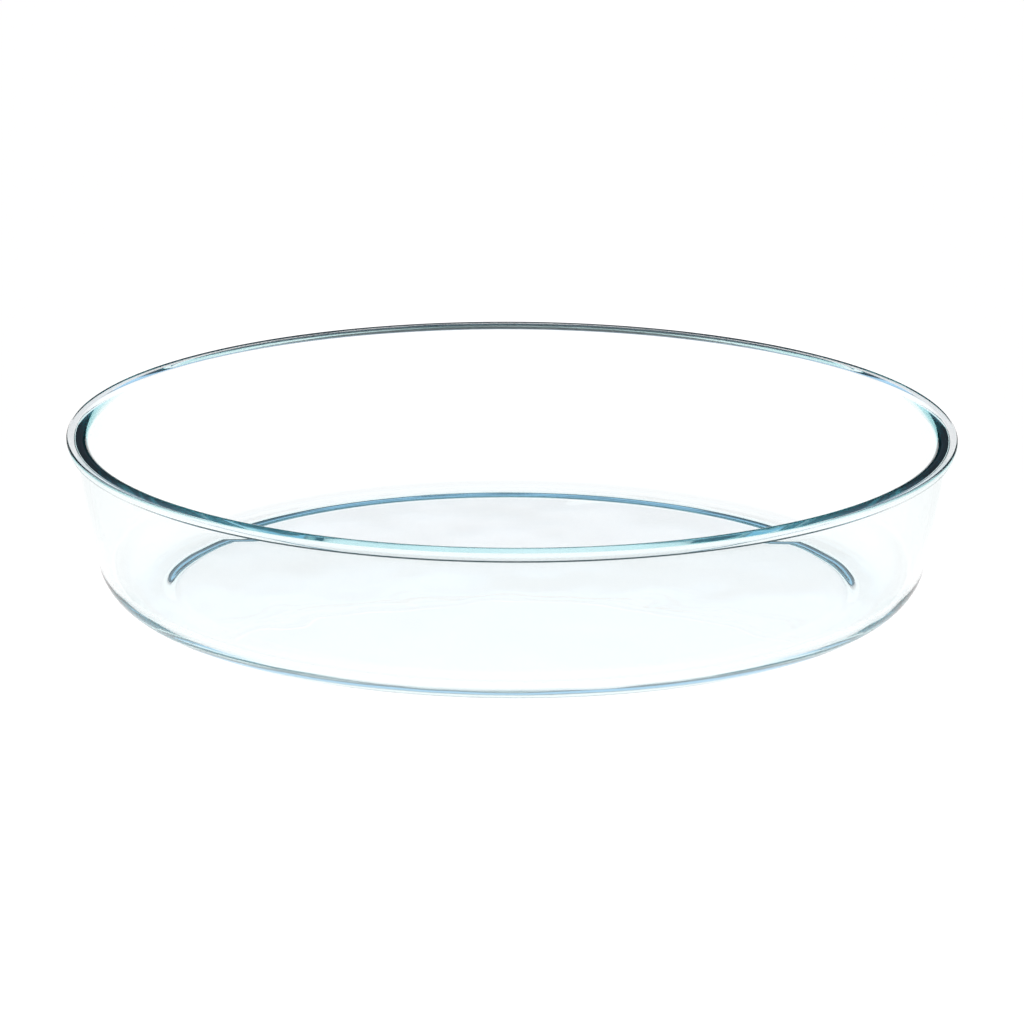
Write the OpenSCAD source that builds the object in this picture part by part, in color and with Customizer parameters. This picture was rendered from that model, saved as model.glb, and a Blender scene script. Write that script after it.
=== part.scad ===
// Oval glass baking dish, pressed in one piece: a flat floor with a shallow recess below it,
// a round heel, a wall that leans out a little, and a lip that stands out all round as the grip.
// One section is swept round an ellipse. Its points are [inset, height]: the inset is measured
// square to the ellipse, inward from the outermost edge of the lip.

/* [Dish] */
// Length over the lip
dish_l = 300; // [275:1:340]
// Width over the lip
dish_w = 212; // [190:1:240]
// Height from the table to the top of the lip
dish_h = 60; // [50:1:80]

/* [Wall] */
// Thickness of the wall just under the lip
wall_t = 4.2; // [3.4:0.1:4.8]
// Lean of the outer face just under the lip, in degrees from upright
wall_lean = 3.2; // [2:0.2:6]
// Lean of the inner face just under the lip, in degrees from upright
inner_lean = 1.8; // [1:0.2:4]
// Radius of the slight bulge of both faces, seen in section
wall_bulge_r = 360; // [300:10:600]

/* [Floor] */
// Height of the floor's upper face above the table
floor_z = 4.7; // [4:0.1:7]
// Outer radius of the heel, where the wall turns into the floor
heel_r = 17.4; // [14:0.2:19]
// Inner radius of the same turn
heel_inner_r = 12.8; // [11:0.2:16]

/* [Foot] */
// Width of the flat ring that the dish stands on
foot_w = 3.8; // [3:0.2:8]
// Height of the shallow recess inside the foot ring
recess_h = 1.4; // [0.5:0.1:2]
// Width of the soft step from the foot ring into the recess
step_w = 8; // [4:0.5:9]

/* [Lip] */
// Depth of the lip, from its top to its crisp lower corner
lip_h = 3.2; // [2.8:0.1:3.8]
// Reach of the lip beyond the face of the wall
lip_reach = 3.2; // [2.8:0.1:3.6]
// Inset of the lower corner from the outermost edge
corner_in = 0.5; // [0.2:0.1:1.2]
// Rise of the underside from the lower corner towards the wall
under_rise = 0.2; // [0:0.1:0.6]
// Radius of the fillet between the underside and the wall
fillet_r = 0.7; // [0.4:0.1:1.2]
// Width of the rounded outer shoulder
shoulder_w = 0.9; // [0.3:0.1:1.4]
// Depth of the rounded outer shoulder
shoulder_d = 0.9; // [0.3:0.1:1.8]
// Fall of the top from its inner end to the shoulder
top_fall = 0.2; // [0:0.1:0.5]
// Width of the rounded inner edge
edge_w = 3.8; // [2:0.1:4.4]
// Depth of the rounded inner edge
edge_d = 3.5; // [2:0.1:5]

/* [Smoothness] */
// Number of flats round the dish
around = 108; // [60:4:108]

/* [Hidden] */

// Half axes of the outermost edge
half_l = dish_l / 2;
half_w = dish_w / 2;

// Direction at an angle above the level, in the plane of the section
function unit(a) = [cos(a), sin(a)];

// The underside runs straight from the lower corner and would meet the wall here
corner = [corner_in, dish_h - lip_h];
under_end = [lip_reach, corner[1] + under_rise];
under_slope = atan2(under_rise, lip_reach - corner_in);

// The fillet touches the underside and the wall
fillet_back = fillet_r * tan((90 + under_slope - wall_lean) / 2);
wall_top = under_end + fillet_back * [sin(wall_lean), -cos(wall_lean)];
fillet_c = wall_top - fillet_r * unit(wall_lean);

// The outer face is an arc that leaves the fillet at the lean; its centre lies far inside the dish
wall_c = wall_top + wall_bulge_r * unit(wall_lean);
heel_a = asin((wall_c[1] - heel_r) / (wall_bulge_r - heel_r));
heel_c = [wall_c[0] - (wall_bulge_r - heel_r) * cos(heel_a), heel_r];

// The rounded inner edge is a quarter ellipse, up to where it is as steep as the inner face
edge_end = atan2(edge_w / edge_d, tan(inner_lean));
edge_start = lip_reach + wall_t - edge_w * sin(edge_end);
inner_top = [lip_reach + wall_t, dish_h - edge_d * (1 - cos(edge_end))];

// The inner face is an arc of the same bulge, and the inner heel runs from it into the floor
inner_c = inner_top + wall_bulge_r * unit(inner_lean);
heel_inner_z = floor_z + heel_inner_r;
heel_inner_a = asin((inner_c[1] - heel_inner_z) / (wall_bulge_r - heel_inner_r));
heel_inner_c = [inner_c[0] - (wall_bulge_r - heel_inner_r) * cos(heel_inner_a), heel_inner_z];

// The outer shoulder is a quarter ellipse from the outermost edge up to the top
shoulder_z = dish_h - top_fall - shoulder_d;

// Number of flats along each stretch of the section
step_n = 4;
heel_n = 9;
wall_n = 4;
fillet_n = 3;
shoulder_n = 4;
edge_n = 8;
heel_inner_n = 10;

// Points on an arc, from one angle to another
function arc(c, r, from, to, n) = [for (i = [0 : n]) c + r * unit(from + (to - from) * i / n)];

// The same points without the first, which the stretch before it already has
function after_first(points) = [for (i = [1 : len(points) - 1]) points[i]];

// Soft step, level at both ends, from the recess down to the foot ring
function step_down(inner, outer, h, n) =
    [for (i = [0 : n]) [inner + (outer - inner) * i / n, h * (1 + cos(180 * i / n)) / 2]];

// Outer side of the section: recess, foot ring, heel, wall and the fillet under the lip
function outside() = concat(
    step_down(heel_c[0] + foot_w + step_w, heel_c[0] + foot_w, recess_h, step_n),
    arc(heel_c, heel_r, 270, 180 + heel_a, heel_n),
    after_first(arc(wall_c, wall_bulge_r, 180 + heel_a, 180 + wall_lean, wall_n)),
    after_first(arc(fillet_c, fillet_r, wall_lean, 90 + under_slope, fillet_n))
);

// The lip: lower corner, outer shoulder, and the inner edge from the top to the inner face
function lip() = concat(
    [corner],
    [
        for (i = [0 : shoulder_n])
            let (a = 90 * i / shoulder_n)
            [shoulder_w * (1 - cos(a)), shoulder_z + shoulder_d * sin(a)]
    ],
    [
        for (i = [0 : edge_n])
            let (a = edge_end * i / edge_n)
            [edge_start + edge_w * sin(a), dish_h - edge_d * (1 - cos(a))]
    ]
);

// Inner side of the section: down the wall and round the heel to the floor
function inside() = concat(
    after_first(arc(inner_c, wall_bulge_r, 180 + inner_lean, 180 + heel_inner_a, wall_n)),
    after_first(arc(heel_inner_c, heel_inner_r, 180 + heel_inner_a, 270, heel_inner_n))
);

// A point of the section carried to one station of the ellipse
function station(p, a) =
    let (across = norm([half_w * cos(a), half_l * sin(a)]))
    [
        half_l * cos(a) - p[0] * half_w * cos(a) / across,
        half_w * sin(a) - p[0] * half_l * sin(a) / across,
        p[1]
    ];

// A closed skin over rings of equal length, with a flat face on the first and the last ring
module skin(rings) {
    n = len(rings[0]);
    last = len(rings) - 1;
    sides = [
        for (k = [0 : last - 1], i = [0 : n - 1])
            let (a = k * n + i, b = k * n + (i + 1) % n)
            each [[a, a + n, b], [b, a + n, b + n]]
    ];
    first_face = [for (i = [0 : n - 1]) i];
    last_face = [for (i = [0 : n - 1]) last * n + n - 1 - i];
    polyhedron(points = [for (ring = rings) each ring], faces = concat([first_face, last_face], sides));
}

module baking_dish() {
    section = concat(outside(), lip(), inside());
    color([0.72, 0.86, 0.87, 0.55])
        skin([for (p = section) [for (i = [0 : around - 1]) station(p, 360 * i / around)]]);
}

baking_dish();
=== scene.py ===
import math
import bpy
from mathutils import Matrix, Vector


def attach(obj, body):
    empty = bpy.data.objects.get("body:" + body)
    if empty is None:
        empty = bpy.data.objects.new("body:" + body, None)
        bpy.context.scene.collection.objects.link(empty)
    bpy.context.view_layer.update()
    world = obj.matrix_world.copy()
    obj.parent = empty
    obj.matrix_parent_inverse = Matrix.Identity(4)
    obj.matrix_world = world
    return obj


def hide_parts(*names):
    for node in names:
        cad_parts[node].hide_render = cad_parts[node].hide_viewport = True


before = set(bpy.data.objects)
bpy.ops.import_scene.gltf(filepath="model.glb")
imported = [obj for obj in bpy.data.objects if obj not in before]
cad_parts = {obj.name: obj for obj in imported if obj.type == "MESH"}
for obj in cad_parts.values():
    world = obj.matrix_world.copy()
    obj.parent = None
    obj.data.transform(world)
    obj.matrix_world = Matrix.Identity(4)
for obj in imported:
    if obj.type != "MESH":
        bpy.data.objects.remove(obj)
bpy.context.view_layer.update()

# The dish: one piece of clear oven glass, pressed between a mould and a plunger and then
# fire-polished. The mould leaves a crisp lower corner on the lip and a soft foot ring below;
# the plunger leaves the smooth inside. Every section square to the oval rim is the same.
MM = 0.001
DISH_L, DISH_W, DISH_H = 300.0, 212.0, 60.0
WALL_T, WALL_LEAN, INNER_LEAN, WALL_BULGE_R = 4.2, 3.2, 1.8, 360.0
FLOOR_Z, HEEL_R, HEEL_INNER_R = 4.7, 17.4, 12.8
FOOT_W, RECESS_H, STEP_W = 3.8, 1.4, 8.0
LIP_H, LIP_REACH, CORNER_IN, UNDER_RISE, FILLET_R = 3.2, 3.2, 0.5, 0.2, 0.7
SHOULDER_W, SHOULDER_D, TOP_FALL, EDGE_W, EDGE_D = 0.9, 0.9, 0.2, 3.8, 3.5
FLATS_ROUND = 560
STEP_FLATS, HEEL_FLATS, WALL_FLATS = 12, 30, 14
FILLET_FLATS, SHOULDER_FLATS, EDGE_FLATS = 8, 12, 18
WELD_GAP = 0.01
SHARP_CORNER = 25.0


def toward(angle):
    """Direction at an angle above the level, in the plane of the section."""
    return Vector((math.cos(math.radians(angle)), math.sin(math.radians(angle))))


def arc(centre, wide, deep, start, end, flats):
    """Points on part of an ellipse; the first one is left out, as the stretch before has it."""
    turns = (toward(start + (end - start) * i / flats) for i in range(1, flats + 1))
    return [centre + Vector((wide * turn.x, deep * turn.y)) for turn in turns]


def turn_into(face_c, radius, level):
    """Centre and end angle of the heel's arc, which runs from a face of the wall into a floor."""
    angle = math.asin((face_c.y - level - radius) / (WALL_BULGE_R - radius))
    centre = Vector((face_c.x - (WALL_BULGE_R - radius) * math.cos(angle), level + radius))
    return centre, 180 + math.degrees(angle)


def step_down(inner, outer):
    """The soft step from the recess under the floor down to the foot ring, level at both ends."""
    shares = [i / STEP_FLATS for i in range(STEP_FLATS + 1)]
    return [Vector((inner + (outer - inner) * share, RECESS_H * (1 + math.cos(math.pi * share)) / 2))
            for share in shares]


def dish_section():
    """Points (inset from the rim's outer edge, height) from the recess round to the floor."""
    corner = Vector((CORNER_IN, DISH_H - LIP_H))
    slope = math.degrees(math.atan2(UNDER_RISE, LIP_REACH - CORNER_IN))
    back = FILLET_R * math.tan(math.radians(90 + slope - WALL_LEAN) / 2)
    wall_top = corner + Vector((LIP_REACH - CORNER_IN, UNDER_RISE)) - back * toward(90 + WALL_LEAN)
    fillet_c = wall_top - FILLET_R * toward(WALL_LEAN)
    wall_c = wall_top + WALL_BULGE_R * toward(WALL_LEAN)
    heel_c, heel_a = turn_into(wall_c, HEEL_R, 0)
    shoulder_c = Vector((SHOULDER_W, DISH_H - TOP_FALL - SHOULDER_D))
    edge_a = math.degrees(math.atan2(EDGE_W / EDGE_D, math.tan(math.radians(INNER_LEAN))))
    edge_c = Vector((LIP_REACH + WALL_T - EDGE_W * toward(edge_a).y, DISH_H - EDGE_D))
    inner_top = edge_c + Vector((EDGE_W * toward(edge_a).y, EDGE_D * toward(edge_a).x))
    inner_c = inner_top + WALL_BULGE_R * toward(INNER_LEAN)
    inner_heel_c, inner_heel_a = turn_into(inner_c, HEEL_INNER_R, FLOOR_Z)
    ring = heel_c.x + FOOT_W
    return (step_down(ring + STEP_W, ring) + [Vector((heel_c.x, 0))]
            + arc(heel_c, HEEL_R, HEEL_R, 270, heel_a, HEEL_FLATS)
            + arc(wall_c, WALL_BULGE_R, WALL_BULGE_R, heel_a, 180 + WALL_LEAN, WALL_FLATS)
            + arc(fillet_c, FILLET_R, FILLET_R, WALL_LEAN, 90 + slope, FILLET_FLATS)
            + [corner, Vector((0, shoulder_c.y))]
            + arc(shoulder_c, SHOULDER_W, SHOULDER_D, 180, 90, SHOULDER_FLATS)
            + [Vector((edge_c.x, DISH_H))]
            + arc(edge_c, EDGE_W, EDGE_D, 90, 90 - edge_a, EDGE_FLATS)
            + arc(inner_c, WALL_BULGE_R, WALL_BULGE_R, 180 + INNER_LEAN, inner_heel_a, WALL_FLATS)
            + arc(inner_heel_c, HEEL_INNER_R, HEEL_INNER_R, inner_heel_a, 270, HEEL_FLATS))


def add_node(tree, kind, settings=None, links=None, values=None):
    """Adds a node, sets its properties and socket values, and links its inputs."""
    node = tree.nodes.new(kind)
    for name, value in (settings or {}).items():
        setattr(node, name, value)
    for name, value in (values or {}).items():
        node.inputs[name].default_value = value
    for name, source in (links or {}).items():
        tree.links.new(source, node.inputs[name])
    return node


def oval_sweep():
    """Geometry Nodes: carries the section round the oval and closes the floor with two discs."""
    tree = bpy.data.node_groups.new("sweep_round_oval", "GeometryNodeTree")
    for name, kind in (("Section", "Geometry"), ("Length", "Float"), ("Width", "Float"),
                       ("Floor Top", "Float"), ("Floor Under", "Float"), ("Weld Gap", "Float"),
                       ("Flats Round", "Int"), ("Glass", "Material")):
        tree.interface.new_socket(name, in_out="INPUT", socket_type="NodeSocket" + kind)
    tree.interface.new_socket("Dish", in_out="OUTPUT", socket_type="NodeSocketGeometry")
    given = add_node(tree, "NodeGroupInput").outputs

    # The section keeps square to a circle that is drawn out to the oval
    profile = add_node(tree, "GeometryNodeMeshToCurve", links={"Mesh": given["Section"]})
    size = add_node(tree, "ShaderNodeCombineXYZ", links={"X": given["Length"], "Y": given["Width"]})
    circle = add_node(tree, "GeometryNodeCurvePrimitiveCircle",
                      links={"Resolution": given["Flats Round"]}, values={"Radius": 0.5})
    oval = add_node(tree, "GeometryNodeTransform",
                    links={"Geometry": circle.outputs["Curve"], "Scale": size.outputs[0]})
    upright = add_node(tree, "GeometryNodeSetCurveNormal", {"mode": "Z_UP"},
                       {"Curve": oval.outputs[0]})
    skin = add_node(tree, "GeometryNodeCurveToMesh",
                    links={"Curve": upright.outputs[0], "Profile Curve": profile.outputs[0]})
    outward = add_node(tree, "GeometryNodeFlipFaces", links={"Mesh": skin.outputs[0]})

    # Its two open edges, one above half the floor's height and one below, each get a disc
    faces = add_node(tree, "GeometryNodeInputMeshEdgeNeighbors")
    open_edge = add_node(tree, "FunctionNodeCompare", {"data_type": "INT", "operation": "EQUAL"},
                         {2: faces.outputs[0]}, {3: 1})
    spot = add_node(tree, "GeometryNodeInputPosition")
    height = add_node(tree, "ShaderNodeSeparateXYZ", links={0: spot.outputs[0]})
    middle = add_node(tree, "ShaderNodeMath", {"operation": "MULTIPLY"},
                      {0: given["Floor Top"]}, {1: 0.5})
    above = add_node(tree, "FunctionNodeCompare",
                     {"data_type": "FLOAT", "operation": "GREATER_THAN"},
                     {"A": height.outputs["Z"], "B": middle.outputs[0]})
    below = add_node(tree, "FunctionNodeBooleanMath", {"operation": "NOT"}, {0: above.outputs[0]})
    discs = []
    for half, level in ((above, "Floor Top"), (below, "Floor Under")):
        chosen = add_node(tree, "FunctionNodeBooleanMath", {"operation": "AND"},
                          {0: open_edge.outputs[0], 1: half.outputs[0]})
        loop = add_node(tree, "GeometryNodeMeshToCurve",
                        links={"Mesh": skin.outputs[0], "Selection": chosen.outputs[0]})
        disc = add_node(tree, "GeometryNodeFillCurve", {"mode": "NGONS"},
                        {"Curve": loop.outputs[0]})
        shift = add_node(tree, "ShaderNodeCombineXYZ", links={"Z": given[level]})
        discs.append(add_node(tree, "GeometryNodeTransform",
                              links={"Geometry": disc.outputs[0], "Translation": shift.outputs[0]}))
    floor_top, floor_under = discs
    downward = add_node(tree, "GeometryNodeFlipFaces", links={"Mesh": floor_under.outputs[0]})

    joined = add_node(tree, "GeometryNodeJoinGeometry")
    for part in (downward, floor_top, outward):
        tree.links.new(part.outputs[0], joined.inputs[0])
    welded = add_node(tree, "GeometryNodeMergeByDistance",
                      links={"Geometry": joined.outputs[0], "Distance": given["Weld Gap"]})
    real = add_node(tree, "GeometryNodeRealizeInstances", links={"Geometry": welded.outputs[0]})
    glazed = add_node(tree, "GeometryNodeSetMaterial",
                      links={"Geometry": real.outputs[0], "Material": given["Glass"]})
    add_node(tree, "NodeGroupOutput", links={"Dish": glazed.outputs[0]})
    return tree


def srgb(colour):
    """A hex colour as the linear RGBA that Blender's sockets take."""
    steps = [int(colour[i:i + 2], 16) / 255 for i in (1, 3, 5)]
    return [c / 12.92 if c <= 0.04045 else ((c + 0.055) / 1.055) ** 2.4 for c in steps] + [1.0]


# Pressed oven glass, fire-polished: clear and glossy, with the faint sea green of its iron where
# light runs a long way inside it, so the rim and the heel look teal and the wall clear. Pressing
# leaves waves a few centimetres long, which bend the lines that are seen through the floor.
IRON_TINT, IRON_DENSITY = "#a0dfe2", 17.0
GLASS_IOR = 1.5
WAVE_LONG, WAVE_HIGH = 28.0, 0.25
glass = bpy.data.materials.new("pressed_oven_glass_fire_polished")
glass.use_nodes = True
tree = glass.node_tree
tree.nodes.clear()
spot = add_node(tree, "ShaderNodeTexCoord")
swirl = add_node(tree, "ShaderNodeTexNoise", links={"Vector": spot.outputs["Object"]},
                 values={"Scale": 1 / (WAVE_LONG * MM), "Detail": 1.0, "Roughness": 0.4})
waves = add_node(tree, "ShaderNodeBump", links={"Height": swirl.outputs[0]},
                 values={"Strength": 1.0, "Distance": WAVE_HIGH * MM})
body = add_node(tree, "ShaderNodeBsdfPrincipled", links={"Normal": waves.outputs[0]},
                values={"Base Color": srgb("#ffffff"), "Transmission Weight": 1.0,
                        "Roughness": 0.0, "IOR": GLASS_IOR})
iron = add_node(tree, "ShaderNodeVolumeAbsorption",
                values={"Color": srgb(IRON_TINT), "Density": IRON_DENSITY})
add_node(tree, "ShaderNodeOutputMaterial",
         links={"Surface": body.outputs[0], "Volume": iron.outputs[0]})

# The section is a string of edges, laid so that its insets run inward from the oval
points = [(-p.x * MM, -p.y * MM, 0.0) for p in dish_section()]
line = bpy.data.meshes.new("dish_section")
line.from_pydata(points, [(i, i + 1) for i in range(len(points) - 1)], [])
maker = bpy.data.objects.new("dish_section", line)
bpy.context.scene.collection.objects.link(maker)
sweep = maker.modifiers.new("sweep", "NODES")
sweep.node_group = oval_sweep()
sizes = {"Length": DISH_L * MM, "Width": DISH_W * MM, "Floor Top": FLOOR_Z * MM,
         "Floor Under": RECESS_H * MM, "Weld Gap": WELD_GAP * MM, "Flats Round": FLATS_ROUND,
         "Glass": glass}
for item in sweep.node_group.interface.items_tree:
    if item.in_out == "INPUT" and item.name in sizes:
        sweep[item.identifier] = sizes[item.name]
seen = maker.evaluated_get(bpy.context.evaluated_depsgraph_get())
dish = bpy.data.objects.new("pressed_dish", bpy.data.meshes.new_from_object(seen))
bpy.data.objects.remove(maker)
bpy.context.scene.collection.objects.link(dish)
dish.data.shade_smooth()
dish.data.set_sharp_from_angle(angle=math.radians(SHARP_CORNER))
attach(dish, "root")
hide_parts("baking_dish")

# The stage: a plain white table top, lit from below as on a light table. It is white all over,
# and past the ends of the dish its light is a little weaker, so that the glass shows there.
TABLE_SIZE, TABLE_DROP = 40000.0, 0.2
TABLE_WHITE, TABLE_LIGHT, SIDE_LIGHT = "#fffdfd", 1.2, 1.02
FADE_FROM, FADE_TO = 130.0, 200.0
bpy.ops.mesh.primitive_plane_add(size=TABLE_SIZE * MM, location=(0, 0, -TABLE_DROP * MM))
table = bpy.context.object
table.name = "white_table"
pane = bpy.data.materials.new("white_light_table")
pane.use_nodes = True
tree = pane.node_tree
tree.nodes.clear()
spot = add_node(tree, "ShaderNodeTexCoord")
across = add_node(tree, "ShaderNodeSeparateXYZ", links={0: spot.outputs["Object"]})
side = add_node(tree, "ShaderNodeMath", {"operation": "ABSOLUTE"}, {0: across.outputs["X"]})
fade = add_node(tree, "ShaderNodeMapRange", {"interpolation_type": "SMOOTHSTEP"},
                {"Value": side.outputs[0]},
                {"From Min": FADE_FROM * MM, "From Max": FADE_TO * MM,
                 "To Min": TABLE_LIGHT, "To Max": SIDE_LIGHT})
glow = add_node(tree, "ShaderNodeEmission", links={"Strength": fade.outputs[0]},
                values={"Color": srgb(TABLE_WHITE)})
add_node(tree, "ShaderNodeOutputMaterial", links={"Surface": glow.outputs[0]})
table.data.materials.append(pane)

# The light: a dark room round the table, and high behind the dish one wide soft window with a
# blue cast, which draws the floor's edge and the base. The dark walls draw the rim. Each height
# is the sine of its angle above the level.
DARK_WALL, DIM_WALL, DIM_LIGHT = "#1d1f22", "#27454d", "#617684"
WINDOW, CEILING = "#b3ddfd", "#768b99"
FRONT_WALL = ((0.90, DARK_WALL), (0.97, CEILING))
BACK_WALL = ((0.16, DIM_WALL), (0.22, DIM_LIGHT), (0.40, DIM_LIGHT), (0.45, WINDOW),
             (0.68, WINDOW), (0.74, DARK_WALL), (0.90, DARK_WALL), (0.97, CEILING))
BACK_FROM, BACK_FULL = 0.2, 0.5
world = bpy.data.worlds.new("dark_studio")
bpy.context.scene.world = world
world.use_nodes = True
tree = world.node_tree
tree.nodes.clear()
way = add_node(tree, "ShaderNodeTexCoord")
axes = add_node(tree, "ShaderNodeSeparateXYZ", links={0: way.outputs["Generated"]})
walls = []
for steps in (FRONT_WALL, BACK_WALL):
    ramp = add_node(tree, "ShaderNodeValToRGB", links={"Fac": axes.outputs["Z"]})
    walls.append(ramp.outputs["Color"])
    stops = ramp.color_ramp.elements
    for n, (height, light) in enumerate(steps):
        stop = stops[n] if n < len(stops) else stops.new(height)
        stop.position = height
        stop.color = srgb(light)
back = add_node(tree, "ShaderNodeMapRange", {"interpolation_type": "SMOOTHSTEP"},
                {"Value": axes.outputs["Y"]}, {"From Min": BACK_FROM, "From Max": BACK_FULL})
room = add_node(tree, "ShaderNodeMix", {"data_type": "RGBA"},
                {0: back.outputs[0], 6: walls[0], 7: walls[1]})
sky = add_node(tree, "ShaderNodeBackground", links={"Color": room.outputs[2]})
add_node(tree, "ShaderNodeOutputWorld", links={"Surface": sky.outputs[0]})

# The camera: a long lens from well in front, 23 degrees above the table. Light may pass through
# the glass many times, because what is caught in the rim comes out teal only after a long way.
AIM_HEIGHT, DISTANCE, RISE, ROLL = 30.0, 927.5, math.radians(23.3), math.radians(0.258)
SENSOR_W, LENS, SHIFT_X, SHIFT_Y, CLIP_START = 36.0, 95.22, 0.00025, -0.00563, 0.01
BOUNCES = 160
camera = bpy.data.cameras.new("camera")
eye = bpy.data.objects.new("camera", camera)
bpy.context.scene.collection.objects.link(eye)
bpy.context.scene.camera = eye
aim = Vector((0, 0, AIM_HEIGHT * MM))
place = aim + DISTANCE * MM * Vector((0, -math.cos(RISE), math.sin(RISE)))
turn = (aim - place).to_track_quat("-Z", "Y").to_matrix().to_4x4()
eye.matrix_world = Matrix.Translation(place) @ turn @ Matrix.Rotation(ROLL, 4, "Z")
camera.sensor_width = SENSOR_W
camera.lens = LENS
camera.shift_x, camera.shift_y = SHIFT_X, SHIFT_Y
camera.clip_start = CLIP_START
cycles = bpy.context.scene.cycles
cycles.max_bounces = BOUNCES
cycles.transmission_bounces = BOUNCES
cycles.glossy_bounces = BOUNCES
cycles.caustics_refractive = True
cycles.caustics_reflective = True
cycles.blur_glossy = 0.0
cycles.sample_clamp_indirect = 0.0
bpy.context.scene.view_settings.view_transform = "Standard"
